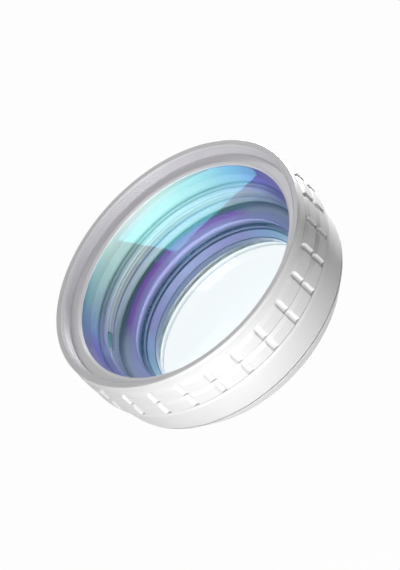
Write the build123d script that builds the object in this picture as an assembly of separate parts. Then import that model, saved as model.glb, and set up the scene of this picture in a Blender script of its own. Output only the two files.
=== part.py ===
"""Wide-angle conversion lens with a screw-on rear unit, standing on its rear face with its front up.

Millimetres. +Z runs along the optical axis towards the front, and the origin is the centre of the rear face.
Every piece is turned about Z. Heights are stacked up from the rear face, and radii step in and out from
the filter thread, so a change of one piece carries its neighbours with it.
"""

from build123d import *

from math import cos, radians, sin, sqrt
import os

# Clearances
fit_gap = 0.05  # radial room of every screwed or dropped-in piece
seat_gap = 0.05  # axial room where two turned shoulders nearly meet

# Front: filter thread, lip and the recess in front of the glass
filter_thread_radius = 25.6  # wall of the female 52 mm filter thread, at its minor diameter
lip_rise = 1.4  # outer edge of the lip beyond the thread wall
lip_chamfer_width = 0.6  # bright inner chamfer of the lip
lip_chamfer_height = 0.5
thread_relief_depth = 0.35  # turned groove where the filter thread runs out
thread_relief_height = 0.2
lip_height = 1.1  # lip face down to the seam with the grip ring
lip_edge_break = 0.25
bezel_rise = 1.8  # bezel at the seam, beyond the thread wall
bezel_groove_depth = 0.15
bezel_groove_height = 0.2
recess_depth = 2.4  # lip face down to the retaining ring
bezel_wall = 0.95
bezel_ledge = 0.95  # how far the glass seat stands in from the thread wall
ledge_drop = 0.35  # bezel ledge below the front land of the glass

# Front element and the ring that holds it
front_ring_thickness = 0.55
front_ring_ledge = 0.5  # ledge at the foot of the filter thread, round the ring's own seat
front_ring_lap = 1.3  # how far the ring reaches in over the glass
front_ring_chamfer = 0.5
seal_thickness = 0.2
seal_width = 0.7
front_element_edge = 2.0
front_element_bulge = 0.5  # height of the dome above its front land, below the ring's face
front_element_hollow = 1.6  # depth of the rear hollow
front_land_width = 1.9  # flat ground land behind, where the spacer bears

# Rings between the front element and the rear group
front_spacer_height = 2.65
spacer_wall = 1.85
front_baffle_height = 1.4
front_baffle_wall = 0.7
front_baffle_step = 0.45
barrel_neck_wall = 1.55
barrel_thread_length = 2.6  # how deep the barrel's neck screws into the bezel
second_ring_height = 3.1
second_ring_wall = 1.45
second_ring_chamfer = 0.15
second_ring_groove_drop = 1.45  # from the ring's top down to its fine groove
second_ring_groove = 0.15
second_ring_taper = 0.15
spanner_notch_width = 4.3
spanner_notch_depth = 1.25
spanner_notch_angle = 152.0
cone_height = 1.5
cone_drop = 1.1
cone_rim = 0.1
cone_outer_step = 1.5  # cone ring's radius, in from the second ring's
bore_step_width = 0.3
bore_step_height = 0.2
cone_bore_lap = 1.2  # how far the cone reaches in over the doublet
gasket_thickness = 0.15
gasket_inset = 0.1

# Cemented rear group
doublet_step = 3.55  # doublet's radius, in from the barrel's front bore
crown_edge = 0.55
flint_edge = 1.1
crown_front_bulge = 3.1
cement_bulge = 1.2
flint_rear_bulge = 1.1
barrel_lip_height = 0.6
barrel_lip_lap = 1.5
barrel_lip_inset = 0.1  # inner lip above the barrel's outer rear edge

# Grip ring
grip_wall = 0.45  # wall of the ring at the floor between the ribs, over the bezel
grip_shoulder_drop = 3.25  # from the top of the grip ring's outer skin to the step in its bore
skirt_rise = 0.4
skirt_height = 1.75
skirt_ramp = 0.5
row_floor_height = 2.15
ridge_rise = 0.35
ridge_ramp = 1.2
ridge_face = 0.1
second_floor_height = 2.1
flange_fall = 0.2
rib_count = 28
rib_phase = 2.5  # angle of the first rib from +X
rib_width = 1.5
rib_rise = 0.6
rib_draft = 12.0
rib_root = 0.2  # how deep a rib's root lies in the ring
front_rib_length = 3.2
rear_rib_length = 3.1
rib_end_gap = 0.05  # flat rear end of a rib above the ridge or flange face
rib_nose_share = 0.8  # how round the front end is: 1 is a full half circle
rib_crest_radius = 0.35

# Rear band of the barrel and the joint
band_inset = 0.5  # top of the rear band, in from the grip floor
band_taper = 0.5
band_bow = 0.12
joint_spigot_height = 2.05
joint_spigot_wall = 1.6
joint_spigot_inset = 2.6  # counterbore in from the foot of the rear band
joint_room = 0.1
washer_thickness = 0.25
washer_inset = 0.5
washer_inner_inset = 2.4

# Rear unit
mount_thread_radius = 20.25  # 40.5 mm male thread
mount_thread_length = 2.3
mount_thread_chamfer = 0.3
mount_wall = 1.25
mount_lip_height = 1.2
mount_lip_lap = 0.8  # how far the seat reaches in under the rear glass
mount_flange_rise = 1.2
mount_flange_height = 1.3
macro_foot_width = 1.65
macro_rim_inset = 0.2
macro_rim_height = 0.25
macro_cone_height = 3.3
macro_flint_edge = 1.4
macro_crown_edge = 0.5
macro_gasket_thickness = 0.1
macro_lap = 1.9  # how far the housing's aperture reaches in over the glass
macro_aperture_height = 1.2
macro_taper_width = 0.8
macro_step = 0.1
macro_front_bulge = 0.28
macro_cement_bulge = 1.2
macro_rear_bulge = 0.65

# Set screws
screw_count = 3
screw_phase = 30.0
screw_radius = 0.8
screw_length = 2.0
screw_socket = 0.4
screw_socket_depth = 0.8
screw_drop = 1.2  # screw axis below the barrel's front face
screw_gap = 0.02
screw_bite = 0.15  # screw tip outside the barrel's bore

# Heights, stacked up from the rear face
z_mount_seat = mount_lip_height
z_macro_cement = z_mount_seat + macro_flint_edge
z_macro_land = z_macro_cement + macro_crown_edge
z_macro_lip = z_macro_land + macro_gasket_thickness
z_mount_flange = mount_thread_length + mount_flange_height
z_macro_cone = mount_thread_length + macro_cone_height
z_macro_top = z_macro_cone + macro_rim_height
z_barrel_foot = z_macro_top + washer_thickness
z_barrel_lip = z_barrel_foot + barrel_lip_inset
z_doublet_seat = z_barrel_lip + barrel_lip_height
z_cement = z_doublet_seat + flint_edge
z_doublet_land = z_cement + crown_edge
z_cone_foot = z_doublet_land + gasket_thickness
z_second_ring = z_cone_foot + cone_height
z_front_baffle = z_second_ring + second_ring_height
z_barrel_top = z_front_baffle + front_baffle_height
z_element_seat = z_barrel_top + front_spacer_height
z_element_land = z_element_seat + front_element_edge
z_front_ring = z_element_land + front_ring_thickness
z_relief = z_front_ring + seat_gap
z_front = z_front_ring + recess_depth
z_seam = z_front - lip_height
z_grip_top = z_seam - seat_gap
z_shoulder = z_barrel_top - barrel_thread_length
z_bezel_ledge = z_element_land - ledge_drop
z_grip_step = z_grip_top - grip_shoulder_drop

# Radii, stepped from the filter thread
lip_radius = filter_thread_radius + lip_rise
bezel_radius = filter_thread_radius + bezel_rise
bezel_outer = filter_thread_radius + bezel_wall
bezel_bore = filter_thread_radius - bezel_ledge
front_ring_seat = filter_thread_radius - front_ring_ledge
bezel_sleeve = bezel_bore + bezel_wall
element_radius = bezel_bore - fit_gap
front_clear = element_radius - front_ring_lap
spacer_bore = element_radius - spacer_wall
neck_radius = bezel_bore - fit_gap
barrel_bore = neck_radius - barrel_neck_wall
inner_ring_radius = barrel_bore - fit_gap
second_ring_bore = inner_ring_radius - second_ring_wall
cone_radius = inner_ring_radius - cone_outer_step
doublet_radius = barrel_bore - doublet_step
cone_bore = doublet_radius - cone_bore_lap
barrel_lip_bore = doublet_radius - barrel_lip_lap
grip_floor = bezel_outer + fit_gap + grip_wall
band_top_radius = grip_floor - band_inset
band_foot_radius = band_top_radius - band_taper
joint_bore = band_foot_radius - joint_spigot_inset
spigot_outer = joint_bore - joint_room
spigot_inner = spigot_outer - joint_spigot_wall
mount_bore = mount_thread_radius - mount_wall
macro_radius = mount_bore - joint_room
macro_aperture = macro_radius - macro_lap
mount_flange = mount_thread_radius + mount_flange_rise
macro_rim_radius = band_foot_radius - macro_rim_inset
macro_foot_radius = mount_flange + fit_gap + macro_foot_width


def turned(outline):
    """A full turn of a closed outline, given as (radius, height) points."""
    return revolve(Plane.XZ * make_face(Polyline(*outline, close=True)), Axis.Z)


def dome_radius(bulge, reach):
    """Radius of the sphere that rises by bulge over a circle of radius reach."""
    return (reach**2 + bulge**2) / (2 * bulge)


def dome(reach, land, bulge):
    """Arc of a lens surface from its rim at (reach, land) to the axis. A positive bulge rises."""
    sphere = dome_radius(abs(bulge), reach)
    half_way = sphere - sqrt(sphere**2 - (reach / 2) ** 2)
    middle = land + bulge - (half_way if bulge > 0 else -half_way)
    return ThreePointArc((reach, land), (reach / 2, middle), (0, land + bulge))


def lens(radius, rear, front):
    """A lens turned from two surfaces, each given as (reach, land height, bulge)."""
    rear_reach, rear_land, rear_bulge = rear
    front_reach, front_land, front_bulge = front
    rim = [(rear_reach, rear_land), (radius, rear_land), (radius, front_land), (front_reach, front_land)]
    corners = [p for i, p in enumerate(rim) if i == 0 or p != rim[i - 1]]
    axis = Line((0, rear_land + rear_bulge), (0, front_land + front_bulge))
    edges = [dome(*rear), Polyline(*corners), dome(*front), axis]
    return revolve(Plane.XZ * make_face(edges), Axis.Z)


def around(angle, radius, height):
    """Plane that looks straight out at an angle, with its own y along the optical axis."""
    a = radians(angle)
    out = (cos(a), sin(a), 0)
    place = (radius * out[0], radius * out[1], height)
    return Plane(origin=place, x_dir=(-out[1], out[0], 0), z_dir=out)


def front_bezel():
    """Lip, filter thread wall, glass seat and the sleeve that screws over the barrel's neck."""
    groove_top = z_front - lip_height / 2
    body = turned(
        [
            (filter_thread_radius + lip_chamfer_width, z_front),
            (lip_radius, z_front),
            (lip_radius + lip_edge_break, z_front - lip_edge_break),
            (lip_radius + lip_edge_break, groove_top),
            (lip_radius + lip_edge_break - bezel_groove_depth, groove_top - bezel_groove_height / 2),
            (bezel_radius, groove_top - bezel_groove_height),
            (bezel_radius, z_seam),
            (bezel_outer, z_seam),
            (bezel_outer, z_grip_step + seat_gap),
            (bezel_sleeve, z_grip_step + seat_gap),
            (bezel_sleeve, z_shoulder),
            (bezel_bore, z_shoulder),
            (bezel_bore, z_bezel_ledge),
            (front_ring_seat, z_bezel_ledge),
            (front_ring_seat, z_relief),
            (filter_thread_radius + thread_relief_depth, z_relief),
            (filter_thread_radius + thread_relief_depth, z_relief + thread_relief_height),
            (filter_thread_radius, z_relief + thread_relief_height),
            (filter_thread_radius, z_front - lip_chamfer_height),
        ]
    )
    return body - screw_holes()


def front_retaining_ring():
    """Plain face ring over the rim of the glass, with a bright inner chamfer and a pocket for the seal."""
    outer = front_ring_seat - fit_gap
    seal_inner = element_radius - seal_width
    return turned(
        [
            (front_clear + front_ring_chamfer, z_front_ring),
            (outer, z_front_ring),
            (outer, z_bezel_ledge + seat_gap),
            (element_radius + fit_gap, z_bezel_ledge + seat_gap),
            (element_radius + fit_gap, z_element_land + seal_thickness),
            (seal_inner, z_element_land + seal_thickness),
            (seal_inner, z_element_land),
            (front_clear, z_element_land),
            (front_clear, z_element_land + front_ring_thickness / 3),
        ]
    )


def flat_ring(inner, outer, low, high):
    """A ring of rectangular section."""
    return turned([(inner, low), (outer, low), (outer, high), (inner, high)])


def front_element():
    """Large front meniscus: a low dome in front, hollow behind."""
    hollow_reach = element_radius - front_land_width
    rear = (hollow_reach, z_element_seat, front_element_hollow)
    return lens(element_radius, rear, (front_clear, z_element_land, front_element_bulge))


def front_baffle():
    """Stop ring with one step in its bore."""
    wide = inner_ring_radius - front_baffle_wall
    narrow = wide - front_baffle_step
    step = z_barrel_top - bore_step_height * 2
    return turned(
        [
            (inner_ring_radius, z_front_baffle),
            (inner_ring_radius, z_barrel_top),
            (wide, z_barrel_top),
            (wide, step),
            (narrow, step),
            (narrow, z_front_baffle),
        ]
    )


def second_retaining_ring():
    """Threaded ring that clamps the rear group, with a fine groove and two spanner notches."""
    top = z_front_baffle
    groove = top - second_ring_groove_drop
    foot_bore = second_ring_bore - second_ring_taper
    body = turned(
        [
            (inner_ring_radius, z_second_ring),
            (inner_ring_radius, top),
            (second_ring_bore + second_ring_chamfer, top),
            (second_ring_bore, top - second_ring_chamfer),
            (second_ring_bore, groove),
            (second_ring_bore + second_ring_groove, groove - second_ring_groove / 2),
            (second_ring_bore, groove - second_ring_groove),
            (foot_bore, z_second_ring),
        ]
    )
    reach = inner_ring_radius * 3
    notch = Box(reach, spanner_notch_width, spanner_notch_depth * 2)
    return body - Pos(0, 0, top) * Rot(0, 0, spanner_notch_angle) * notch


def conical_spacer():
    """Ring with a front-facing cone and fine steps down its bore."""
    rim = cone_radius - cone_rim
    cone_foot = z_second_ring - cone_drop
    steps = cone_bore + bore_step_width
    return turned(
        [
            (cone_radius, z_cone_foot),
            (cone_radius, z_second_ring),
            (rim, z_second_ring),
            (steps, cone_foot),
            (steps, cone_foot - bore_step_height),
            (cone_bore, cone_foot - bore_step_height),
            (cone_bore, z_cone_foot),
        ]
    )


def doublet_crown():
    """Front half of the cemented rear group, with the strong dome that rises into the cone."""
    front = (cone_bore, z_doublet_land, crown_front_bulge)
    return lens(doublet_radius, (doublet_radius, z_cement, -cement_bulge), front)


def doublet_flint():
    """Rear half of the cemented rear group."""
    rear = (barrel_lip_bore, z_doublet_seat, -flint_rear_bulge)
    return lens(doublet_radius, rear, (doublet_radius, z_cement, -cement_bulge))


def main_barrel():
    """Rear band outside, stepped bore inside, and a counterbore that takes the rear unit's spigot."""
    tube = spigot_inner - joint_room
    seat = doublet_radius + fit_gap
    cone_seat = cone_radius + fit_gap
    counterbore_top = z_macro_top + joint_spigot_height + joint_room
    band_middle = (z_barrel_foot + z_shoulder) / 2
    bow_radius = (band_foot_radius + band_top_radius) / 2 + band_bow
    band = ThreePointArc(
        (band_foot_radius, z_barrel_foot), (bow_radius, band_middle), (band_top_radius, z_shoulder)
    )
    rest = Polyline(
        (band_top_radius, z_shoulder),
        (neck_radius, z_shoulder),
        (neck_radius, z_barrel_top),
        (barrel_bore, z_barrel_top),
        (barrel_bore, z_second_ring),
        (cone_seat, z_second_ring),
        (cone_seat, z_doublet_land),
        (seat, z_doublet_land),
        (seat, z_doublet_seat),
        (barrel_lip_bore, z_doublet_seat),
        (barrel_lip_bore, z_barrel_lip),
        (tube, z_barrel_lip),
        (tube, counterbore_top),
        (joint_bore, counterbore_top),
        (joint_bore, z_barrel_foot),
        (band_foot_radius, z_barrel_foot),
    )
    body = revolve(Plane.XZ * make_face([band, rest]), Axis.Z)
    return body - screw_holes()


def screw_holes():
    """Tapped holes through the bezel's sleeve and the barrel's neck."""
    depth = bezel_ledge + barrel_neck_wall + bezel_wall
    holes = []
    for angle in screw_angles():
        start = around(angle, barrel_bore - screw_bite, z_barrel_top - screw_drop)
        holes.append(extrude(start * Circle(screw_radius), depth))
    return holes


def screw_angles():
    """Angles of the set screws, evenly round the ring."""
    return [screw_phase + i * 360 / screw_count for i in range(screw_count)]


def bezel_set_screws():
    """Headless screws with hexagon sockets, one in each tapped hole."""
    shank = Circle(screw_radius - screw_gap)
    socket = RegularPolygon(screw_socket, 6)
    screws = []
    tip = barrel_bore + screw_bite
    bottom = tip + screw_length - screw_socket_depth
    for angle in screw_angles():
        rod = extrude(around(angle, tip, z_barrel_top - screw_drop) * shank, screw_length)
        key = extrude(around(angle, bottom, z_barrel_top - screw_drop) * socket, screw_socket_depth)
        screws.append(rod - key)
    return Compound(children=screws)


def grip_sleeve():
    """The grip ring without its ribs: skirt, two floors, the ridge between them and the rear flange."""
    ramp_foot = z_grip_top - skirt_height - skirt_ramp
    ridge_front = ramp_foot - row_floor_height
    ridge_top = ridge_front - ridge_face
    second_floor = ridge_top - ridge_ramp
    flange_front = second_floor - second_floor_height
    sleeve = turned(
        [
            (bezel_outer + fit_gap, z_grip_top),
            (grip_floor + skirt_rise, z_grip_top),
            (grip_floor + skirt_rise, z_grip_top - skirt_height),
            (grip_floor, ramp_foot),
            (grip_floor, ridge_front),
            (grip_floor + ridge_rise, ridge_top),
            (grip_floor, second_floor),
            (grip_floor, flange_front),
            (grip_floor + ridge_rise, flange_front - ridge_face),
            (grip_floor + ridge_rise - flange_fall, z_shoulder),
            (bezel_sleeve + fit_gap, z_shoulder),
            (bezel_sleeve + fit_gap, z_grip_step),
            (bezel_outer + fit_gap, z_grip_step),
        ]
    )
    return sleeve, ridge_front, flange_front


def rib(foot, length):
    """One raised rib on +X: flat rear end at foot, rounded front end, drafted sides and a rounded crest."""
    half = rib_width / 2
    straight = length - half * rib_nose_share
    sides = Polyline((-half, straight), (-half, 0), (half, 0), (half, straight))
    nose = ThreePointArc((half, straight), (0, length), (-half, straight))
    plane = around(0, grip_floor - rib_root, foot)
    block = extrude(plane * make_face([sides, nose]), rib_root + rib_rise, taper=rib_draft)
    crest = block.faces().sort_by(Axis.X)[-1]
    return fillet(crest.edges(), rib_crest_radius)


def grip_ring():
    """Sleeve with two rows of ribs in line, one on each floor."""
    sleeve, ridge_front, flange_front = grip_sleeve()
    front_rib = rib(ridge_front + rib_end_gap, front_rib_length)
    rear_rib = rib(flange_front + rib_end_gap, rear_rib_length)
    angles = [rib_phase + i * 360 / rib_count for i in range(rib_count)]
    ribs = [one.rotate(Axis.Z, angle) for one in (front_rib, rear_rib) for angle in angles]
    return sleeve + ribs


def macro_housing():
    """Tapered rear ring with the spigot that screws into the barrel and the rear aperture."""
    taper_top = macro_aperture + macro_step + macro_taper_width
    taper_foot = z_macro_lip + macro_aperture_height
    return turned(
        [
            (mount_flange + fit_gap, mount_thread_length),
            (macro_foot_radius, mount_thread_length),
            (macro_rim_radius, z_macro_cone),
            (macro_rim_radius, z_macro_top),
            (spigot_outer, z_macro_top),
            (spigot_outer, z_macro_top + joint_spigot_height),
            (spigot_inner, z_macro_top + joint_spigot_height),
            (spigot_inner, z_macro_top),
            (taper_top, z_macro_top),
            (macro_aperture + macro_step, taper_foot),
            (macro_aperture, taper_foot),
            (macro_aperture, z_macro_lip),
            (mount_bore - fit_gap, z_macro_lip),
            (mount_bore - fit_gap, z_mount_flange),
            (mount_flange + fit_gap, z_mount_flange),
        ]
    )


def mount_ring():
    """Male thread, flange and the seat of the rear glass."""
    seat_bore = macro_radius - mount_lip_lap
    return turned(
        [
            (seat_bore, 0),
            (mount_thread_radius - mount_thread_chamfer, 0),
            (mount_thread_radius, mount_thread_chamfer),
            (mount_thread_radius, mount_thread_length),
            (mount_flange, mount_thread_length),
            (mount_flange, z_mount_flange),
            (mount_bore, z_mount_flange),
            (mount_bore, z_mount_seat),
            (seat_bore, z_mount_seat),
        ]
    )


def macro_crown():
    """Front half of the rear unit's glass, nearly flat in front."""
    front = (macro_aperture, z_macro_land, macro_front_bulge)
    return lens(macro_radius, (macro_radius, z_macro_cement, -macro_cement_bulge), front)


def macro_flint():
    """Rear half of the rear unit's glass, held by the mount ring's lip."""
    rear = (macro_radius - mount_lip_lap, z_mount_seat, -macro_rear_bulge)
    return lens(macro_radius, rear, (macro_radius, z_macro_cement, -macro_cement_bulge))


def pieces():
    """Every piece by its name."""
    seal_top = z_element_land + seal_thickness
    seal = flat_ring(element_radius - seal_width, element_radius, z_element_land, seal_top)
    gasket = flat_ring(cone_bore + gasket_inset, doublet_radius, z_doublet_land, z_cone_foot)
    macro_gasket = flat_ring(macro_aperture + gasket_inset, macro_radius, z_macro_land, z_macro_lip)
    washer_inner = band_foot_radius - washer_inner_inset
    washer = flat_ring(washer_inner, band_foot_radius - washer_inset, z_macro_top, z_barrel_foot)
    return {
        "front_bezel": front_bezel(),
        "front_retaining_ring": front_retaining_ring(),
        "front_element_seal": seal,
        "front_element": front_element(),
        "front_spacer": flat_ring(spacer_bore, element_radius, z_barrel_top, z_element_seat),
        "front_baffle": front_baffle(),
        "grip_ring": grip_ring(),
        "main_barrel": main_barrel(),
        "second_retaining_ring": second_retaining_ring(),
        "conical_spacer": conical_spacer(),
        "doublet_gasket": gasket,
        "doublet_crown": doublet_crown(),
        "doublet_flint": doublet_flint(),
        "joint_washer": washer,
        "macro_housing": macro_housing(),
        "macro_gasket": macro_gasket,
        "macro_crown": macro_crown(),
        "macro_flint": macro_flint(),
        "mount_ring": mount_ring(),
        "bezel_set_screws": bezel_set_screws(),
    }


os.makedirs("parts", exist_ok=True)
for name, piece in pieces().items():
    export_step(piece, f"parts/{name}.step")
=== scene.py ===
"""Looks of the wide-angle conversion lens: turned rings, flutes, threads, coated glass and a small studio.

Laid out as an add-on and run as a script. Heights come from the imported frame. Sizes are in millimetres until
a piece is finished, and every finished piece is in metres with its place in its mesh.
"""

import math

import bmesh
import bpy
from bpy.props import FloatProperty, FloatVectorProperty, IntProperty, PointerProperty
from mathutils import Matrix, Vector


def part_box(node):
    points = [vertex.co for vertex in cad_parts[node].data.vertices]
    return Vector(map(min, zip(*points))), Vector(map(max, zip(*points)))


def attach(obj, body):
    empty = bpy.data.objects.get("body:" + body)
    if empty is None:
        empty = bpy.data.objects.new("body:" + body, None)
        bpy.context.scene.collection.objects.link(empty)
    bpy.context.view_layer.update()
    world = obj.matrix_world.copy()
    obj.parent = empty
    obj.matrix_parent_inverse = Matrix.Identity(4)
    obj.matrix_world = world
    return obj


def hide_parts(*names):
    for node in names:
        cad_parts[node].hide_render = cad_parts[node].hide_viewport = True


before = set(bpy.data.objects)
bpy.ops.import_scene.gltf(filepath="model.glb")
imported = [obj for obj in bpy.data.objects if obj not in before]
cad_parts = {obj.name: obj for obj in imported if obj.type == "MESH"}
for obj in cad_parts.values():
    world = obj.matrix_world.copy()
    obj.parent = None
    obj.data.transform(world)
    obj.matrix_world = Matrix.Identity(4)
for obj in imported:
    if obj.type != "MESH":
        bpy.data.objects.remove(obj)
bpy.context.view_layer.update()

bl_info = {
    "name": "Conversion lens looks",
    "version": (1, 0, 0),
    "blender": (4, 5, 0),
    "location": "3D View > Sidebar > Lens",
    "description": "Dresses the packed conversion lens: satin rings, fluted grip, threads and coated glass",
    "category": "Object",
}

MM = 0.001
TURN = 2 * math.pi


def low(node):
    """Lowest height of a CAD node, in millimetres."""
    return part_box(node)[0].z / MM


def high(node):
    """Highest height of a CAD node, in millimetres."""
    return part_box(node)[1].z / MM


LIP = high("front_bezel")
SEAM = high("grip_ring")
RING_FACE = high("front_retaining_ring")
LAND = low("front_element_seal")
SEAT = low("front_element")
SPACER_FOOT = low("front_spacer")
BAFFLE_FOOT = low("front_baffle")
RING_FOOT = low("second_retaining_ring")
CONE_FOOT = low("conical_spacer")
SHOULDER = low("grip_ring")
BARREL_FOOT = low("main_barrel")
HOUSING_TOP = low("joint_washer")
THREAD_TOP = low("macro_housing")
MACRO_LIP = high("macro_gasket")
OPENING_TOP = MACRO_LIP + 1.2

# Radii that an outline and a finish share
THREAD_MOUTH = 26.05
NOTCH_REACH = 21.8
CONE_REACH = 21.4
CONE_BORE = 18.6
OPENING = 19.0
# Behind its front face a glass is ground this much further in than on it
GROUND_STEP = 0.65
# Height that the lamps point at
MIDDLE = 11.0
# How far below the top of the grip its two fluted rows end in a hard step
FIRST_STEP = 4.47
LAST_STEP = 7.97


class LensBodySettings(bpy.types.PropertyGroup):
    """Sizes and colours of the metal rings."""

    steps: IntProperty(name="Facets round", description="Steps in one turn of a ring", default=192, min=48)
    rounding: FloatProperty(
        name="Edge break", description="Rounding of the outer rings' edges, mm", default=0.05
    )
    lip_rounding: FloatProperty(
        name="Lip break", description="Rounding of the bezel's edges, mm", default=0.04
    )
    fine_rounding: FloatProperty(
        name="Fine edge break", description="Rounding of the inner rings' edges, mm", default=0.03
    )
    flute_count: IntProperty(name="Flutes", description="Flutes in each row", default=28, min=1)
    flute_phase: FloatProperty(
        name="First flute", description="Angle of the first flute from X", default=math.radians(2.5),
        subtype="ANGLE",
    )
    flute_steps: IntProperty(name="Flute steps", description="Facets across one flute", default=8, min=4)
    flute_width: FloatProperty(name="Flute width", description="Width of a flute, mm", default=1.54)
    flute_depth: FloatProperty(
        name="Flute depth", description="Depth of a flute below its row, mm", default=0.52
    )
    paint: FloatVectorProperty(
        name="Paint", description="Satin pearl paint", default=(0.86, 0.86, 0.865), subtype="COLOR",
        size=3,
    )
    # Painted shade: the darker lilac grey inside the lip, standing in for the shade of its recess
    shaded_rim_paint: FloatVectorProperty(
        name="Rim paint", description="Paint inside the lip", default=(0.80, 0.78, 0.81),
        subtype="COLOR", size=3,
    )


class LensGlassSettings(bpy.types.PropertyGroup):
    """Colours and strengths of the glass coatings."""

    front_tint: FloatVectorProperty(
        name="Front coating", description="Colour that the front glass reflects", default=(0.20, 0.92, 1.0),
        subtype="COLOR", size=3,
    )
    front_share: FloatProperty(
        name="Front reflection", description="Share of light that the front glass reflects", default=0.04,
        subtype="FACTOR",
    )
    rear_tint: FloatVectorProperty(
        name="Rear coating", description="Colour that the rear glass reflects", default=(0.45, 0.75, 1.0),
        subtype="COLOR", size=3,
    )
    rear_share: FloatProperty(
        name="Rear reflection", description="Share of light that the rear group reflects", default=0.02,
        subtype="FACTOR",
    )
    last_share: FloatProperty(
        name="Last reflection", description="Share of light that the rear unit's glass reflects",
        default=0.03, subtype="FACTOR",
    )


class LensStageSettings(bpy.types.PropertyGroup):
    """Camera and floor."""

    tilt: FloatProperty(
        name="Camera tilt", description="Camera's angle down from the lens axis", default=math.radians(51.89),
        subtype="ANGLE",
    )
    roll: FloatProperty(
        name="Camera roll", description="Turn of the camera about its view", default=math.radians(-46.54),
        subtype="ANGLE",
    )
    focal: FloatProperty(name="Focal length", description="Camera's focal length, mm", default=252.6)
    floor: FloatVectorProperty(
        name="Floor", description="Colour of the floor", default=(0.3, 0.3, 0.3), subtype="COLOR", size=3
    )


# Shader maths


class Link:
    """One shader value. Arithmetic on it adds Math nodes."""

    def __init__(self, finish, socket):
        self.finish = finish
        self.socket = socket

    def also(self, name):
        """Another output of the same node."""
        return Link(self.finish, self.socket.node.outputs[name])

    def maths(self, operation, *values, **settings):
        settings["operation"] = operation
        return self.finish.add("ShaderNodeMath", settings, dict(enumerate(values)))

    def __add__(self, other):
        return self.maths("ADD", self, other)

    def __radd__(self, other):
        return self.maths("ADD", other, self)

    def __sub__(self, other):
        return self.maths("SUBTRACT", self, other)

    def __rsub__(self, other):
        return self.maths("SUBTRACT", other, self)

    def __mul__(self, other):
        return self.maths("MULTIPLY", self, other)

    def __truediv__(self, other):
        return self.maths("DIVIDE", self, other)

    def __pow__(self, other):
        return self.maths("POWER", self, other)

    def __abs__(self):
        return self.maths("ABSOLUTE", self)

    def __gt__(self, other):
        return self.maths("GREATER_THAN", self, other)

    def __lt__(self, other):
        return self.maths("LESS_THAN", self, other)

    def clipped(self):
        return self.maths("ADD", self, 0.0, use_clamp=True)


class Finish:
    """Builds the nodes of one material, or of the world."""

    def __init__(self, name, owner=None):
        self.owner = owner or bpy.data.materials.new(name)
        self.owner.use_nodes = True
        self.tree = self.owner.node_tree
        self.tree.nodes.clear()

    def add(self, kind, settings=None, inputs=None, give=0):
        """Adds a node: its settings first, then the values or links of its sockets. Returns one output."""
        node = self.tree.nodes.new(kind)
        for key, value in (settings or {}).items():
            if key == "stops":
                self.stops(node.color_ramp, value)
            else:
                setattr(node, key, value)
        for key, value in (inputs or {}).items():
            self.feed(node.inputs[key], value)
        return None if give is None else Link(self, node.outputs[give])

    def stops(self, ramp, stops):
        while len(ramp.elements) > 1:
            ramp.elements.remove(ramp.elements[-1])
        ramp.elements[0].position = stops[0][0]
        ramp.elements[0].color = (*stops[0][1], 1)
        for place, colour in stops[1:]:
            ramp.elements.new(place).color = (*colour, 1)

    def feed(self, socket, value):
        if isinstance(value, Link):
            self.tree.links.new(value.socket, socket)
        elif socket.type == "RGBA" and len(value) == 3:
            socket.default_value = (*value, 1)
        else:
            socket.default_value = value

    def place(self):
        """Object coordinates: x, y and z in metres."""
        return self.add("ShaderNodeTexCoord", give="Object")

    def radius(self):
        """Distance from the optical axis, in millimetres."""
        x = self.add("ShaderNodeSeparateXYZ", {}, {0: self.place()})
        y = x.also("Y")
        return (x * x + y * y) ** 0.5 / MM

    def height(self):
        """Height above the rear face, in millimetres."""
        return self.add("ShaderNodeSeparateXYZ", {}, {0: self.place()}, give="Z") / MM

    def sideways(self):
        """0 where a ring's wall faces front or back, 1 where it faces left or right."""
        x = self.add("ShaderNodeSeparateXYZ", {}, {0: self.place()})
        y = x.also("Y")
        return abs(x) / ((x * x + y * y) ** 0.5 + 0.000001)

    def noise(self, size, detail=2.0, stretch=(1, 1, 1)):
        """Noise whose patches are about size millimetres across."""
        at = self.add("ShaderNodeMapping", {}, {"Vector": self.place(), "Scale": stretch})
        return self.add("ShaderNodeTexNoise", {}, {"Vector": at, "Scale": 1 / (size * MM), "Detail": detail})

    def rings(self, pitch):
        """Fine turning marks: a soft wave along the radius and the height."""
        along = self.radius() + self.height()
        return along.maths("SINE", along * (TURN / pitch)) * 0.5 + 0.5

    def mix(self, first, second, factor):
        """Mixes two colours."""
        inputs = {0: factor, 6: first, 7: second}
        return self.add("ShaderNodeMix", {"data_type": "RGBA"}, inputs, give=2)

    def ramp(self, value, stops):
        return self.add("ShaderNodeValToRGB", {"stops": stops}, {0: value})

    def bump(self, height, depth):
        """Normal from a height of 0 to 1, depth millimetres deep."""
        return self.add("ShaderNodeBump", {}, {"Height": height, "Strength": 1.0, "Distance": depth * MM})

    def surface(self, inputs):
        """Ends the material with one surface shader."""
        return self.end(self.add("ShaderNodeBsdfPrincipled", {}, inputs))

    def end(self, shader, kind="ShaderNodeOutputMaterial"):
        self.add(kind, {}, {0: shader}, give=None)
        return self.owner
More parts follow.
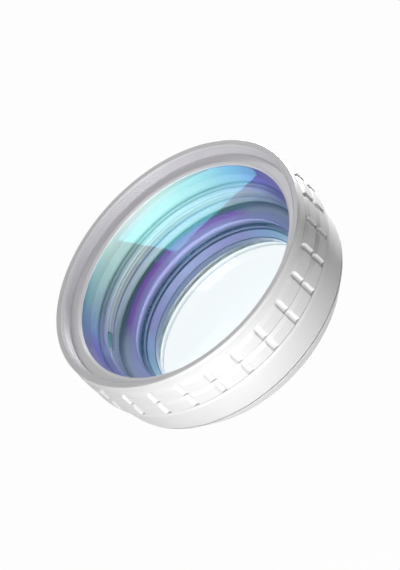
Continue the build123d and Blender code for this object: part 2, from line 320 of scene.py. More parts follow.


# Finishes

# Painted reflections of the coatings and painted shade on the inner rings, from where they face front or back
# to where they face sideways
WALL = [
    (0.0, (0.43, 0.64, 0.57)), (0.28, (0.39, 0.58, 0.52)), (0.5, (0.33, 0.50, 0.47)),
    (0.69, (0.27, 0.40, 0.45)), (0.85, (0.24, 0.34, 0.59)), (0.95, (0.18, 0.12, 0.60)),
    (1.0, (0.20, 0.09, 0.48)),
]
# Painted coating reflections and painted light on the front glass's ground rim
EDGE = [
    (0.0, (0.92, 0.99, 0.97)), (0.28, (0.80, 0.98, 0.92)), (0.5, (0.60, 0.86, 0.84)),
    (0.69, (0.42, 0.65, 0.73)), (0.85, (0.24, 0.34, 0.68)), (0.95, (0.16, 0.10, 0.48)),
    (1.0, (0.26, 0.17, 0.62)),
]
STOP = [
    (0.0, (0.49, 0.64, 0.61)), (0.5, (0.44, 0.54, 0.58)), (0.69, (0.44, 0.45, 0.58)),
    (0.85, (0.46, 0.43, 0.68)), (0.95, (0.38, 0.38, 0.70)), (1.0, (0.20, 0.15, 0.48)),
]
# Painted coating reflections and painted light on the rear group's ground rim
LILAC = [
    (0.0, (0.50, 0.46, 0.80)), (0.5, (0.46, 0.44, 0.78)), (0.85, (0.40, 0.41, 0.68)),
    (1.0, (0.40, 0.52, 0.66)),
]
# Painted shade, tinted blue, at the barrel's rear lip
NAVY = [
    (0.0, (0.06, 0.07, 0.20)), (0.5, (0.05, 0.06, 0.15)), (0.9, (0.07, 0.09, 0.22)),
    (1.0, (0.44, 0.50, 0.66)),
]
# Painted coating reflections on the rear ring's taper
TAPER = [
    (0.0, (0.46, 0.50, 0.82)), (0.5, (0.34, 0.32, 0.66)), (0.7, (0.31, 0.29, 0.60)),
    (0.85, (0.27, 0.37, 0.67)), (1.0, (0.16, 0.34, 0.50)),
]
# Painted shade, tinted blue, in the rear ring's aperture
BORE = [
    (0.0, (0.045, 0.06, 0.18)), (0.5, (0.03, 0.045, 0.14)), (0.9, (0.01, 0.04, 0.12)),
    (1.0, (0.04, 0.14, 0.28)),
]
# Painted light: near white, as if lit through the rear opening
PALE = [(0.0, (0.97, 0.98, 0.98)), (1.0, (0.90, 0.97, 0.98))]
# Painted shade and painted reflection across the cone's face from its outer edge: where it faces front or
# back, and on its flanks
FACE = [
    (0.0, (0.05, 0.05, 0.11)), (0.2, (0.06, 0.045, 0.12)), (0.33, (0.12, 0.03, 0.30)),
    (0.46, (0.32, 0.04, 0.64)), (0.6, (0.38, 0.05, 0.68)), (0.8, (0.52, 0.26, 0.86)),
    (1.0, (0.50, 0.37, 0.90)),
]
FLANK = [
    (0.0, (0.08, 0.07, 0.18)), (0.1, (0.13, 0.12, 0.26)), (0.25, (0.27, 0.27, 0.44)),
    (0.4, (0.38, 0.40, 0.60)), (0.68, (0.38, 0.35, 0.69)), (1.0, (0.41, 0.42, 0.80)),
]
# Painted reflections of the coatings and painted shade down the notched ring's bore, from the stop above it to
# its foot
NOTCHED = [
    (0.0, (0.44, 0.53, 0.55)), (0.10, (0.45, 0.49, 0.50)), (0.2, (0.23, 0.24, 0.24)),
    (0.3, (0.23, 0.24, 0.24)), (0.4, (0.34, 0.36, 0.36)), (0.5, (0.10, 0.12, 0.26)),
    (0.56, (0.14, 0.17, 0.28)), (0.62, (0.46, 0.51, 0.60)), (0.75, (0.50, 0.58, 0.66)),
    (0.82, (0.62, 0.73, 0.72)), (1.0, (0.68, 0.80, 0.77)),
]
# Painted coating reflection in blue green, in the notches and on the barrel's wall
MINT = (0.62, 0.98, 0.88)
SLATE = (0.25, 0.3, 0.4)


def satin_paint(name, colour, inside=None, within=None):
    """Pearl paint on turned metal: fine sparkle, a soft orange peel and faint turning marks under it.
    Inside the radius inside, within gives painted light: coating reflections and shade painted into the
    colour."""
    f = Finish(name)
    sparkle = f.noise(0.12, 3.0)
    cloud = f.noise(9.0, 2.0)
    base = f.mix(colour, tuple(c * 0.955 for c in colour), sparkle * 0.6)
    base = f.mix(base, tuple(c * 0.97 for c in colour), cloud * 0.4)
    if inside:
        # Painted light inside the radius inside: the coating reflections and shade that within gives
        base = f.mix(base, within(f), ((inside - f.radius()) * 4.0).clipped())
    marks = f.rings(0.11)
    height = sparkle * 0.6 + marks * 0.4
    return f.surface(
        {
            "Base Color": base,
            "Roughness": 0.36 + sparkle * 0.10 + cloud * 0.05,
            "Metallic": 0.08,
            "Normal": f.bump(height, 0.0035),
            "Coat Weight": 0.25,
            "Coat Roughness": 0.18,
        }
    )


def shaded_rim_paint(name, colour, bright):
    """Lip and thread: bright outside, with painted shade: grey on the lip's narrow face and lilac grey inside
    the thread.
    """
    f = Finish(name)
    inside = ((THREAD_MOUTH - f.radius()) * 4.0).clipped()
    lip_face_shade = ((f.height() - (LIP - 0.13)) * 20.0).clipped()
    sparkle = f.noise(0.12, 3.0)
    # Painted shade: lilac grey inside the thread mouth and grey on the lip's narrow face
    base = f.mix(bright, colour, inside)
    base = f.mix(base, (0.60, 0.60, 0.615), lip_face_shade)
    base = f.mix(base, (0.5, 0.5, 0.52), sparkle * 0.12)
    marks = f.rings(0.13)
    return f.surface(
        {
            "Base Color": base,
            "Roughness": 0.34 + sparkle * 0.12,
            "Metallic": 0.15,
            "Normal": f.bump(marks * 0.6 + sparkle * 0.4, 0.004),
            "Coat Weight": 0.2,
            "Coat Roughness": 0.2,
        }
    )


def inner_metal(name, stops):
    """Turned inner ring painted with the reflections of the coatings, which shift from its front to its sides.
    """
    f = Finish(name)
    grain = f.noise(0.3, 2.0, stretch=(1, 1, 6))
    # Painted reflection: the coating colours, by how far the wall faces sideways
    base = f.mix(f.ramp(f.sideways(), stops), SLATE, grain * 0.10)
    return f.surface(
        {
            "Base Color": base,
            "Roughness": 0.32 + grain * 0.10,
            "Metallic": 0.2,
            "Normal": f.bump(f.rings(0.16), 0.006),
        }
    )


def barrel_inside(f):
    """Painted shade in dark blue at the rear lip, and painted coating reflection in blue green where the
    notches of the ring let the wall show.
    """
    return f.mix(f.ramp(f.sideways(), NAVY), MINT, f.height() > CONE_FOOT + 0.5)


def housing_inside(f):
    """Painted coating reflection in lilac blue on the taper, over painted shade in dark blue in the aperture.
    """
    down = ((OPENING_TOP + 0.15 - f.height()) * 5.0).clipped()
    return f.mix(f.ramp(f.sideways(), TAPER), f.ramp(f.sideways(), BORE), down)


def mount_inside(f):
    """Painted light: a near white rear opening, as if lit through it."""
    return f.ramp(f.sideways(), PALE)


def grip_recess_shade(f):
    """Painted shade: grey in the narrow recess behind each fluted row, and white on the chamfers."""
    down = SEAM - f.height()
    first = (down > FIRST_STEP) * (down < FIRST_STEP + 0.38)
    last = (down > LAST_STEP) * (down < LAST_STEP + 0.43)
    # Painted shade in the recesses, the white paint elsewhere
    return f.mix((0.86, 0.86, 0.865), (0.4, 0.4, 0.41), (first + last).clipped())


def notched_metal(name):
    """The notched ring in painted coating reflections and painted shade: grey above its fine dark groove and
    pale mint below, with blue green notches.
    """
    f = Finish(name)
    down = (BAFFLE_FOOT - f.height()) / (BAFFLE_FOOT - RING_FOOT)
    side = f.sideways()
    base = f.mix(f.ramp(down, NOTCHED), f.ramp(side, STOP), side * side * 0.6)
    # Painted coating reflection: blue green in the notches
    notch = (f.radius() > NOTCH_REACH) * (f.height() < BAFFLE_FOOT - 0.9)
    return f.surface(
        {
            "Base Color": f.mix(base, MINT, notch),
            "Roughness": 0.32,
            "Metallic": 0.2,
            "Normal": f.bump(f.rings(0.2), 0.006),
        }
    )


def cone_metal(name):
    """The cone in painted shade and painted reflection: its face is pale at the edge, then dark, then purple
    and lilac blue. Its flanks are slate.
    """
    f = Finish(name)
    side = f.sideways()
    inward = (CONE_REACH - f.radius()) / (CONE_REACH - CONE_BORE)
    face = f.ramp((inward - side * side * 0.16).clipped(), FACE)
    # Painted light: pale at the face's outer edge
    face = f.mix(face, (0.66, 0.82, 0.85), ((0.11 - side * side * 0.09 - inward) * 16.0).clipped())
    flank = f.ramp((inward - (1.0 - side)).clipped(), FLANK)
    base = f.mix(face, flank, ((side - 0.72) / 0.14).clipped())
    # Painted reflection: lilac blue in the bore
    base = f.mix(base, (0.33, 0.28, 0.68), ((CONE_BORE - 0.05 - f.radius()) * 20.0).clipped())
    return f.surface(
        {
            "Base Color": f.mix(base, SLATE, f.noise(0.3) * 0.05),
            "Roughness": 0.3 + side * 0.1,
            "Metallic": 0.15,
            "Normal": f.bump(f.rings(0.2), 0.006),
        }
    )


def coated_glass(name, tint, share, middle, rim, rim_stops):
    """Clear glass. Above the height middle its face has a coating that mirrors one colour. Outside the radius
    rim, and a little further in below middle, it is ground and painted with rim_stops: painted coating
    reflections and painted light."""
    f = Finish(name)
    faint = f.noise(6.0, 2.0)
    front = f.height() > middle
    ground = f.radius() > (front - 1.0) * GROUND_STEP + rim
    coating = f.mix(tint, tuple(c * 0.9 for c in tint), faint * 0.5)
    return f.surface(
        {
            # Painted reflection and painted light on the ground rim: the colours of rim_stops
            "Base Color": f.mix(coating, f.ramp(f.sideways(), rim_stops), ground),
            "Roughness": ground * 0.4 + 0.015,
            "Metallic": 1.0 - ground,
            "Alpha": (front * share + 0.008 + ground).clipped(),
        }
    )


def dark_rubber(name, colour):
    """Matt rubber or plastic with a fine grain."""
    f = Finish(name)
    grain = f.noise(0.25, 4.0)
    return f.surface(
        {
            "Base Color": f.mix(colour, tuple(c * 2.2 for c in colour), grain),
            "Roughness": 0.6 + grain * 0.2,
            "Normal": f.bump(grain, 0.02),
        }
    )


def turned_steel(name, colour):
    """Bare steel with fine turning marks."""
    f = Finish(name)
    grain = f.noise(0.2, 3.0)
    return f.surface(
        {
            "Base Color": f.mix(colour, tuple(c * 0.7 for c in colour), grain),
            "Roughness": 0.28 + grain * 0.15,
            "Metallic": 1.0,
            "Normal": f.bump(f.rings(0.1), 0.004),
        }
    )


# Shapes


def placed(name, maker, material):
    """Makes an object at the origin from the maker's mesh."""
    mesh = bpy.data.meshes.new(name)
    maker.to_mesh(mesh)
    maker.free()
    mesh.materials.append(material)
    piece = bpy.data.objects.new(name, mesh)
    bpy.context.scene.collection.objects.link(piece)
    return piece


def finished(name, maker, material, smooth_below=38.0, body="root"):
    """Makes the piece in metres, smooth but for its sharp edges, and rides it on the lens."""
    bmesh.ops.scale(maker, vec=(MM, MM, MM), verts=maker.verts[:])
    limit = math.radians(smooth_below)
    for face in maker.faces:
        face.smooth = True
    for edge in maker.edges:
        if len(edge.link_faces) == 2 and edge.calc_face_angle(0.0) > limit:
            edge.smooth = False
    piece = placed(name, maker, material)
    weigh = piece.modifiers.new("Flat faces stay flat", "WEIGHTED_NORMAL")
    weigh.keep_sharp = True
    weigh.weight = 60
    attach(piece, body)
    return piece


def closed_up(maker):
    """Merges doubles and turns every face outwards."""
    bmesh.ops.remove_doubles(maker, verts=maker.verts[:], dist=0.0005)
    bmesh.ops.recalc_face_normals(maker, faces=maker.faces[:])
    return maker


def turned(maker, steps):
    """Spins everything in the maker a full turn about the lens axis."""
    bmesh.ops.spin(
        maker, geom=maker.verts[:] + maker.edges[:], cent=(0, 0, 0), axis=(0, 0, 1), dvec=(0, 0, 0),
        angle=TURN, steps=steps, use_merge=True, use_duplicate=False,
    )
    return closed_up(maker)


def ring(outline, rounding, steps):
    """A full turn of a closed outline of (radius, height) corners, each corner rounded a little."""
    maker = bmesh.new()
    corners = [maker.verts.new((r, 0, z)) for r, z in outline]
    maker.faces.new(corners)
    if rounding:
        bmesh.ops.bevel(
            maker, geom=corners, offset=rounding, offset_type="OFFSET", segments=3, profile=0.5,
            affect="VERTICES", clamp_overlap=True, material=-1,
        )
    bmesh.ops.delete(maker, geom=maker.faces[:], context="FACES_ONLY")
    return turned(maker, steps)


def dome(maker, reach, land, bulge, steps=24):
    """Arc of a lens surface, from the axis out to (reach, land). A positive bulge rises. Returns its rim."""
    size = (reach**2 + bulge**2) / (2 * abs(bulge))
    sign = 1 if bulge > 0 else -1
    apex = maker.verts.new((0, 0, land + bulge))
    spun = bmesh.ops.spin(
        maker, geom=[apex], cent=(0, 0, land + bulge - sign * size), axis=(0, 1, 0), dvec=(0, 0, 0),
        angle=sign * math.asin(reach / size), steps=steps, use_merge=False, use_duplicate=False,
    )
    return [v for v in spun["geom_last"] if isinstance(v, bmesh.types.BMVert)][0]


def lens(radius, rear, front, steps, bevel=(0.12, 0.12), chamfer=0.12):
    """A lens turned from two surfaces, each given as (reach, land height, bulge), with a ground rim. The
    rim's rear bevel has its own width and height."""
    maker = bmesh.new()
    last = dome(maker, *front)
    rear_rim = dome(maker, *rear)
    top, bottom = front[1], rear[1]
    rim = [(radius - chamfer, top), (radius, top - chamfer)]
    rim += [(radius, bottom + bevel[1]), (radius - bevel[0], bottom)]
    for r, z in rim:
        corner = maker.verts.new((r, 0, z))
        maker.edges.new((last, corner))
        last = corner
    maker.edges.new((last, rear_rim))
    return turned(maker, steps)


def ridges(root, crest, start, stop, count):
    """Corners of a fine thread along a wall, from one height to another."""
    pitch = (stop - start) / count
    corners = []
    for i in range(count):
        corners.append((root, start + pitch * (i + 0.12)))
        corners.append((crest, start + pitch * (i + 0.45)))
        corners.append((crest, start + pitch * (i + 0.62)))
        corners.append((root, start + pitch * (i + 0.95)))
    return corners


def slope(start, end, parts):
    """Corners in equal steps from one corner to another."""
    return [
        (start[0] + (end[0] - start[0]) * i / parts, start[1] + (end[1] - start[1]) * i / parts)
        for i in range(parts + 1)
    ]


def row_end(row, root, step):
    """Corners of the hard step at the lower end of a fluted row."""
    return [(row, step + 0.11), (row - 0.09, step + 0.01), (root, step)]


def fluted(maker, settings, row, foot, head, wall=50.0):
    """Scoops every flute out of a turned ring between two heights. A flute has two sloping walls and a
    rounded bottom, and on a chamfer below the row's radius it runs out in an arch."""
    sector = TURN / settings.flute_count
    half, deepest = settings.flute_width / 2, settings.flute_depth
    for corner in maker.verts:
        radius = math.hypot(corner.co.x, corner.co.y)
        if radius < row - deepest or not foot < corner.co.z < head:
            continue
        turn = math.atan2(corner.co.y, corner.co.x) % sector
        across = min(turn, sector - turn) * row
        depth = (half - across) * math.tan(math.radians(wall))
        depth = min(depth, deepest * (1.0 - 0.25 * (across / half) ** 2))
        if depth > 0.0 and radius > row - depth:
            corner.co.xy = corner.co.xy * ((row - depth) / radius)
    to_first = Matrix.Rotation(settings.flute_phase, 3, "Z")
    bmesh.ops.rotate(maker, verts=maker.verts[:], cent=(0, 0, 0), matrix=to_first)
    return maker


class LENS_OT_bezel(bpy.types.Operator):
    """Makes the front bezel: lip, filter thread and the fine grooves of its shoulder"""

    bl_idname = "lens.bezel"
    bl_label = "Front bezel"

    def execute(self, context):
        body = context.scene.lens_body
        wall, root, crest = 27.22, 25.8, 25.6
        lip = [(26.15, LIP - 0.03), (27.0, LIP), (27.2, LIP - 0.2), (wall, LIP - 0.5)]
        groove = [(wall - 0.08, LIP - 0.56), (wall, LIP - 0.62)]
        sleeve = [(27.21, SEAM + 0.02), (26.5, SEAM + 0.02), (26.5, 17.9), (25.55, 17.8)]
        sleeve += [(25.55, SHOULDER + 0.05), (24.7, SHOULDER + 0.05)]
        ring_seat = [(24.7, LAND - 0.35), (25.45, LAND - 0.35), (25.45, RING_FACE)]
        thread = ridges(root, crest, RING_FACE + 0.02, LIP - 0.45, 5)
        outline = lip + groove + sleeve + ring_seat + thread + [(root, LIP - 0.45)]
        finish = shaded_rim_paint("rim satin", tuple(body.shaded_rim_paint), tuple(body.paint))
        piece = finished("front_bezel_turned", ring(outline, body.lip_rounding, body.steps), finish)
        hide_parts("front_bezel")
        return {"FINISHED"}


class LENS_OT_front_ring(bpy.types.Operator):
    """Makes the plain face ring that holds the front glass"""

    bl_idname = "lens.front_ring"
    bl_label = "Front retaining ring"

    def execute(self, context):
        body = context.scene.lens_body
        outline = [(24.0, RING_FACE), (25.4, RING_FACE), (25.4, LAND - 0.3), (24.7, LAND - 0.3)]
        outline += [(24.7, LAND + 0.25), (23.6, LAND + 0.25), (23.3, LAND + 0.01), (23.3, LAND + 0.2)]
        outline += [(23.75, RING_FACE - 0.02)]
        # Painted light: paler than the body paint, lifting the shade of the recess the ring sits in
        finish = satin_paint("face ring satin", (0.92, 0.91, 0.93))
        shape = ring(outline, body.fine_rounding, body.steps)
        piece = finished("front_retaining_ring_turned", shape, finish)
        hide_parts("front_retaining_ring")
        return {"FINISHED"}


class LENS_OT_front_glass(bpy.types.Operator):
    """Makes the large front meniscus with its blue-green coating"""

    bl_idname = "lens.front_glass"
    bl_label = "Front glass"

    def execute(self, context):
        body, glass = context.scene.lens_body, context.scene.lens_glass
        shape = lens(24.6, (22.7, SEAT, 1.6), (23.3, LAND, 0.5), body.steps, bevel=(1.85, 1.7))
        tint, middle = tuple(glass.front_tint), LAND - 0.3
        finish = coated_glass("front coating", tint, glass.front_share, middle, 23.4, EDGE)
        piece = finished("front_element_glass", shape, finish)
        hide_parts("front_element")
        return {"FINISHED"}


class LENS_OT_inner_rings(bpy.types.Operator):
    """Makes the smooth wall, the stepped stop, the notched ring and the cone behind the front glass"""

    bl_idname = "lens.inner_rings"
    bl_label = "Inner rings"

    def execute(self, context):
        body = context.scene.lens_body
        bore, reach = 22.75, 24.55
        spacer = [(bore, SPACER_FOOT), (reach, SPACER_FOOT), (reach, SEAT), (bore, SEAT)]
        self.put("front_spacer", spacer, inner_metal("smooth wall", WALL), "inner_metal", body)
        reach, bore, ledge = 23.0, 21.7, SPACER_FOOT - 0.4
        baffle = [(reach, BAFFLE_FOOT), (reach, SPACER_FOOT), (22.3, SPACER_FOOT), (22.3, ledge)]
        baffle += [(21.85, ledge), (bore, ledge - 0.5), (bore, BAFFLE_FOOT)]
        self.put("front_baffle", baffle, inner_metal("stepped stop", STOP), "inner_metal", body)
        reach, foot = 21.5, RING_FOOT - 1.1
        cone = [(reach, CONE_FOOT), (reach, RING_FOOT), (CONE_REACH, RING_FOOT), (CONE_BORE, foot)]
        cone += [(18.45, foot), (18.45, foot - 0.2), (18.3, foot - 0.2), (18.3, CONE_FOOT)]
        self.put("conical_spacer", cone, cone_metal("cone"), "cone_metal", body)
        return {"FINISHED"}

    def put(self, node, outline, finish, slot, body):
        piece = finished(node + "_turned", ring(outline, body.fine_rounding, body.steps), finish)
        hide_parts(node)


class LENS_OT_rear_glass(bpy.types.Operator):
    """Makes the cemented rear group and the glass of the rear unit"""

    bl_idname = "lens.rear_glass"
    bl_label = "Rear glass"

    def execute(self, context):
        body, glass = context.scene.lens_body, context.scene.lens_glass
        tint = tuple(glass.rear_tint)
        cement, land = high("doublet_flint"), low("doublet_gasket")
        seat = low("doublet_flint") + 1.1
        finish = coated_glass("rear coating", tint, glass.rear_share, cement + 0.2, 18.4, LILAC)
        shape = lens(18.85, (18.0, seat, -1.1), (18.3, land, 3.1), body.steps)
        doublet = finished("doublet_glass", shape, finish)
        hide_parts("doublet_crown", "doublet_flint")
        cement, land = high("macro_flint"), low("macro_gasket")
        seat = low("macro_flint") + 0.65
        finish = coated_glass("last coating", tint, glass.last_share, cement, 19.4, PALE)
        shape = lens(18.9, (17.5, seat, -0.65), (17.5, land, 0.28), body.steps)
        macro = finished("macro_glass", shape, finish)
        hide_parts("macro_crown", "macro_flint")
        return {"FINISHED"}


class LENS_OT_grip(bpy.types.Operator):
    """Makes the grip ring with its skirt and its two fluted rows"""

    bl_idname = "lens.grip"
    bl_label = "Grip ring"

    def execute(self, context):
        body = context.scene.lens_body
        top, row = SEAM, 27.45
        root = row - body.flute_depth - 0.02
        first, last = top - FIRST_STEP, top - LAST_STEP
        outline = [(26.65, top), (27.2, top), (27.18, top - 0.3), (27.0, top - 1.3)]
        outline += slope((root, top - 1.35), (row, top - 2.05), 6) + [(row, top - 2.15)]
        outline += row_end(row, root, first)
        outline += slope((root, first - 0.18), (row, first - 1.23), 7) + [(row, first - 1.33)]
        outline += row_end(row, root, last)
        outline += [(root, last - 0.18), (27.15, last - 0.78), (27.18, SHOULDER)]
        outline += [(25.7, SHOULDER), (25.7, 17.7), (26.65, 17.75)]
        sector_steps = round(TURN * row / body.flute_count / (body.flute_width / body.flute_steps))
        shape = ring(outline, 0, body.flute_count * sector_steps)
        fluted(shape, body, row, last - 0.03, top - 1.32)
        finish = satin_paint("grip satin", tuple(body.paint), row - 0.14, grip_recess_shade)
        piece = finished("grip_ring_turned", shape, finish)
        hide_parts("grip_ring")
        return {"FINISHED"}


class LENS_OT_barrel(bpy.types.Operator):
    """Makes the barrel with its rear band"""

    bl_idname = "lens.barrel"
    bl_label = "Main barrel"

    def execute(self, context):
        body = context.scene.lens_body
        middle, foot = (BARREL_FOOT + SHOULDER) / 2, BARREL_FOOT + 0.1
        outside = [(26.03, foot), (26.25, foot + 1.4), (26.42, middle), (26.52, middle + 1.5)]
        outside += [(26.55, SHOULDER), (24.6, SHOULDER)]
        stop_seat = [(24.6, SPACER_FOOT), (23.05, SPACER_FOOT), (23.05, RING_FOOT)]
        cone_seat = [(21.55, RING_FOOT), (21.55, CONE_FOOT), (19.55, CONE_FOOT - 0.15)]
        glass_seat = [(19.55, 6.8), (18.0, 6.8), (18.0, 6.2), (21.65, 6.2), (21.65, 8.0)]
        thread = [(23.45, 8.0), (23.45, foot - 0.08), (25.4, foot - 0.08), (25.4, foot)]
        outline = outside + stop_seat + cone_seat + glass_seat + thread
        finish = satin_paint("barrel satin", tuple(body.paint), 23.5, barrel_inside)
        piece = finished("main_barrel_turned", ring(outline, body.rounding, body.steps), finish)
        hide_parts("main_barrel")
        return {"FINISHED"}


class LENS_OT_rear_unit(bpy.types.Operator):
    """Makes the tapered rear ring and the mount ring with its male thread"""

    bl_idname = "lens.rear_unit"
    bl_label = "Rear unit"

    def execute(self, context):
        body = context.scene.lens_body
        top, foot = HOUSING_TOP, THREAD_TOP
        outside = [(23.15, foot), (25.8, top - 0.3), (25.85, top - 0.1), (25.3, top - 0.1), (25.3, top)]
        thread = [(23.3, top), (23.3, 7.9), (21.75, 7.9), (21.75, top)]
        taper = [(17.85, top), (17.1, OPENING_TOP), (17.0, OPENING_TOP), (17.0, MACRO_LIP)]
        glass_seat = [(18.9, MACRO_LIP), (18.9, 3.65), (21.55, 3.65), (21.55, foot)]
        finish = satin_paint("rear ring satin", tuple(body.paint), 21.0, housing_inside)
        shape = ring(outside + thread + taper + glass_seat, body.rounding, body.steps)
        piece = finished("macro_housing_turned", shape, finish)
        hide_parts("macro_housing")
        thread = ridges(20.0, 20.25, 0.2, foot - 0.15, 4) + [(20.0, foot - 0.05)]
        flange = [(21.4, foot + 0.02), (21.4, 3.58), (19.05, 3.58), (19.05, 1.2)]
        rear_opening = [(18.15, 1.2), (18.15, 0.03), (19.9, 0.03)]
        metal = satin_paint("thread aluminium", (0.72, 0.73, 0.75), 19.6, mount_inside)
        shape = ring(thread + flange + rear_opening, body.fine_rounding, body.steps)
        mount = finished("mount_ring_turned", shape, metal)
        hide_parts("mount_ring")
        return {"FINISHED"}


class LENS_OT_kept_nodes(bpy.types.Operator):
    """Gives the CAD pieces that stay their finishes"""

    bl_idname = "lens.kept_nodes"
    bl_label = "Seals, washer, screws and the notched ring"

    def execute(self, context):
        rubber = dark_rubber("seal rubber", (0.03, 0.03, 0.032))
        shim = dark_rubber("blue shim", (0.24, 0.24, 0.44))
        washer = dark_rubber("washer plastic", (0.10, 0.10, 0.11))
        screw = turned_steel("screw steel", (0.35, 0.35, 0.37))
        ring_finish = notched_metal("notched ring")
        finishes = {
            "front_element_seal": rubber,
            "doublet_gasket": shim,
            "macro_gasket": rubber,
            "joint_washer": washer,
            "bezel_set_screws": screw,
            "second_retaining_ring": ring_finish,
        }
        for node, finish in finishes.items():
            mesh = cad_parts[node].data
            mesh.materials.clear()
            mesh.materials.append(finish)
        return {"FINISHED"}


class LENS_OT_stage(bpy.types.Operator):
    """Sets the floor, the soft lights and the camera"""

    bl_idname = "lens.stage"
    bl_label = "Stage"

    def execute(self, context):
        stage = context.scene.lens_stage
        self.floor(stage)
        self.world()
        self.lamp("front", turn=-126, rise=16, distance=0.8, size=0.3, power=2.26)
        self.lamp("key", turn=-106, rise=10, distance=0.12, size=0.06, power=0.07)
        self.lamp("rim", turn=43, rise=3, distance=0.2, size=0.02, power=0.6)
        self.lamp("top", turn=45, rise=28, distance=0.3, size=0.1, power=0.2)
        self.lamp("overhead", turn=-112, rise=58, distance=0.5, size=0.3, power=0.3)
        self.light_table(radius=17.0, power=0.006)
        self.flag("dark flag", turn=-14, distance=90, width=80, height=60)
        window = [(4.8, -18.6), (130, -15.5), (110, -120), (-31, -120)]
        self.card("window card", window, colour=(1, 1, 1), strength=7.3)
        self.camera(context, stage)
        context.scene.view_settings.view_transform = "Standard"
        return {"FINISHED"}

    def floor(self, stage):
        """A floor that looks white but sheds little light, with a painted glow: a bright spot under the rear
        opening that shines for every ray and lights the inside.
        """
        maker = bmesh.new()
        bmesh.ops.create_grid(maker, x_segments=1, y_segments=1, size=6.0)
        f = Finish("floor white")
        seen = f.add("ShaderNodeLightPath", give="Is Camera Ray")
        seen = (seen + seen.also("Is Glossy Ray") + seen.also("Is Transmission Ray")).clipped()
        lit = f.add("ShaderNodeBsdfDiffuse", {}, {"Color": tuple(stage.floor)})
        glow = f.add("ShaderNodeEmission", {}, {"Color": (1, 1, 1), "Strength": 1.0})
        # Painted glow: inside the radius OPENING the floor shines at full strength for every ray
        share = (seen * 0.98 + (f.radius() < OPENING)).clipped()
        white = f.end(f.add("ShaderNodeMixShader", {}, {0: share, 1: lit, 2: glow}))
        floor = placed("floor", maker, white)

    def world(self):
        """A dim white sky that looks full white to the camera, in reflections and through glass."""
        world = bpy.data.worlds.new("studio")
        bpy.context.scene.world = world
        f = Finish("studio", world)
        seen = f.add("ShaderNodeLightPath", give="Is Camera Ray")
        any_seen = seen.maths("MAXIMUM", seen, seen.also("Is Glossy Ray"))
        any_seen = seen.maths("MAXIMUM", any_seen, seen.also("Is Transmission Ray"))
        dim = f.add("ShaderNodeBackground", {}, {"Color": (1, 1, 1), "Strength": 0.05})
        white = f.add("ShaderNodeBackground", {}, {"Color": (1, 1, 1), "Strength": 1.0})
        sky = f.add("ShaderNodeMixShader", {}, {0: any_seen, 1: dim, 2: white})
        f.end(sky, "ShaderNodeOutputWorld")

    def lamp(self, name, turn, rise, distance, size, power):
        """A square softbox: turn is its angle round from +X, rise its height angle, both in degrees."""
        turned_to = Matrix.Rotation(math.radians(turn), 3, "Z") @ Matrix.Rotation(-math.radians(rise), 3, "Y")
        place = turned_to @ Vector((distance, 0, 0))
        light = bpy.data.lights.new(name, "AREA")
        light.shape = "SQUARE"
        light.size = size
        light.energy = power
        lamp = bpy.data.objects.new(name, light)
        lamp.location = place
        aim = Vector((0, 0, MIDDLE * MM)) - place
        lamp.visible_camera = False
        lamp.rotation_euler = aim.to_track_quat("-Z", "Y").to_euler()
        bpy.context.scene.collection.objects.link(lamp)

    def light_table(self, radius, power):
        """A disc that shines up through the glass from under the rear opening."""
        light = bpy.data.lights.new("light table", "AREA")
        light.shape = "DISK"
        light.size = 2 * radius * MM
        light.energy = power
        table = bpy.data.objects.new("light table", light)
        table.location = (0, 0, 0.0002)
        table.rotation_euler = (math.pi, 0, 0)
        table.visible_camera = False
        bpy.context.scene.collection.objects.link(table)

    def card(self, name, corners, colour, strength):
        """A bright card that the front glass mirrors, 600 mm away and 38 degrees up behind the lens. Its
        corners are millimetres right and up from the middle of that reflection."""
        away, up = Vector((0, 0.788, 0.616)), Vector((0, -0.616, 0.788))
        middle = Vector((0, 0, LAND)) + away * 600
        maker = bmesh.new()
        points = [maker.verts.new((middle + Vector((x, 0, 0)) + up * y) * MM) for x, y in corners]
        maker.faces.new(points)
        f = Finish(name)
        glow = f.add("ShaderNodeEmission", {}, {"Color": colour, "Strength": strength})
        card = placed(name, maker, f.end(glow))
        card.visible_camera = False

    def flag(self, name, turn, distance, width, height):
        """A black panel that stands on the floor and shades one side. Its sizes are in millimetres."""
        maker = bmesh.new()
        bmesh.ops.create_grid(maker, x_segments=1, y_segments=1, size=0.5)
        bmesh.ops.scale(maker, vec=(width * MM, height * MM, 1), verts=maker.verts[:])
        upright = Matrix.Rotation(math.radians(90), 4, "X")
        away = Matrix.Translation((0, -distance * MM, height * MM / 2 + 0.0005))
        place = Matrix.Rotation(math.radians(turn + 90), 4, "Z") @ away @ upright
        bmesh.ops.transform(maker, matrix=place, verts=maker.verts[:])
        black = Finish(name).surface({"Base Color": (0.01, 0.01, 0.01), "Roughness": 0.9})
        flag = placed(name, maker, black)
        flag.visible_camera = False

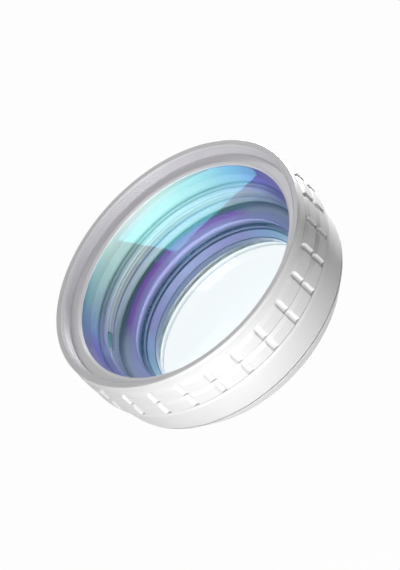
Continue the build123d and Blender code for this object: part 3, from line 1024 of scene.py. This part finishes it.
    def camera(self, context, stage):
        """The photo's view. The camera stands back from the lip by so many lip radii of 27 mm."""
        data = bpy.data.cameras.new("camera")
        data.sensor_fit = "VERTICAL"
        data.sensor_height = 36.0
        data.lens = stage.focal
        data.clip_start = 0.01
        camera = bpy.data.objects.new("camera", data)
        turn = Matrix.Rotation(stage.tilt, 4, "X") @ Matrix.Rotation(stage.roll, 4, "Z")
        back = turn @ (Vector((0.1688, -0.1583, 27.1696)) * 27.0 * MM)
        camera.matrix_world = Matrix.Translation(Vector((0, 0, LIP * MM)) + back) @ turn
        context.scene.collection.objects.link(camera)
        context.scene.camera = camera


class LENS_PT_panel(bpy.types.Panel):
    """Lists the lens's pieces"""

    bl_idname = "LENS_PT_panel"
    bl_label = "Conversion lens"
    bl_space_type = "VIEW_3D"
    bl_region_type = "UI"
    bl_category = "Lens"

    def draw(self, context):
        for operator in OPERATORS:
            self.layout.operator(operator.bl_idname)


OPERATORS = [
    LENS_OT_bezel, LENS_OT_front_ring, LENS_OT_front_glass, LENS_OT_inner_rings, LENS_OT_rear_glass,
    LENS_OT_grip, LENS_OT_barrel, LENS_OT_rear_unit, LENS_OT_kept_nodes, LENS_OT_stage,
]
CLASSES = [LensBodySettings, LensGlassSettings, LensStageSettings, *OPERATORS, LENS_PT_panel]


def register():
    for item in CLASSES:
        bpy.utils.register_class(item)
    bpy.types.Scene.lens_body = PointerProperty(type=LensBodySettings)
    bpy.types.Scene.lens_glass = PointerProperty(type=LensGlassSettings)
    bpy.types.Scene.lens_stage = PointerProperty(type=LensStageSettings)


def unregister():
    del bpy.types.Scene.lens_stage
    del bpy.types.Scene.lens_glass
    del bpy.types.Scene.lens_body
    for item in reversed(CLASSES):
        bpy.utils.unregister_class(item)


def main():
    register()
    bpy.ops.lens.bezel()
    bpy.ops.lens.front_ring()
    bpy.ops.lens.front_glass()
    bpy.ops.lens.inner_rings()
    bpy.ops.lens.rear_glass()
    bpy.ops.lens.grip()
    bpy.ops.lens.barrel()
    bpy.ops.lens.rear_unit()
    bpy.ops.lens.kept_nodes()
    bpy.ops.lens.stage()


if __name__ == "__main__":
    main()
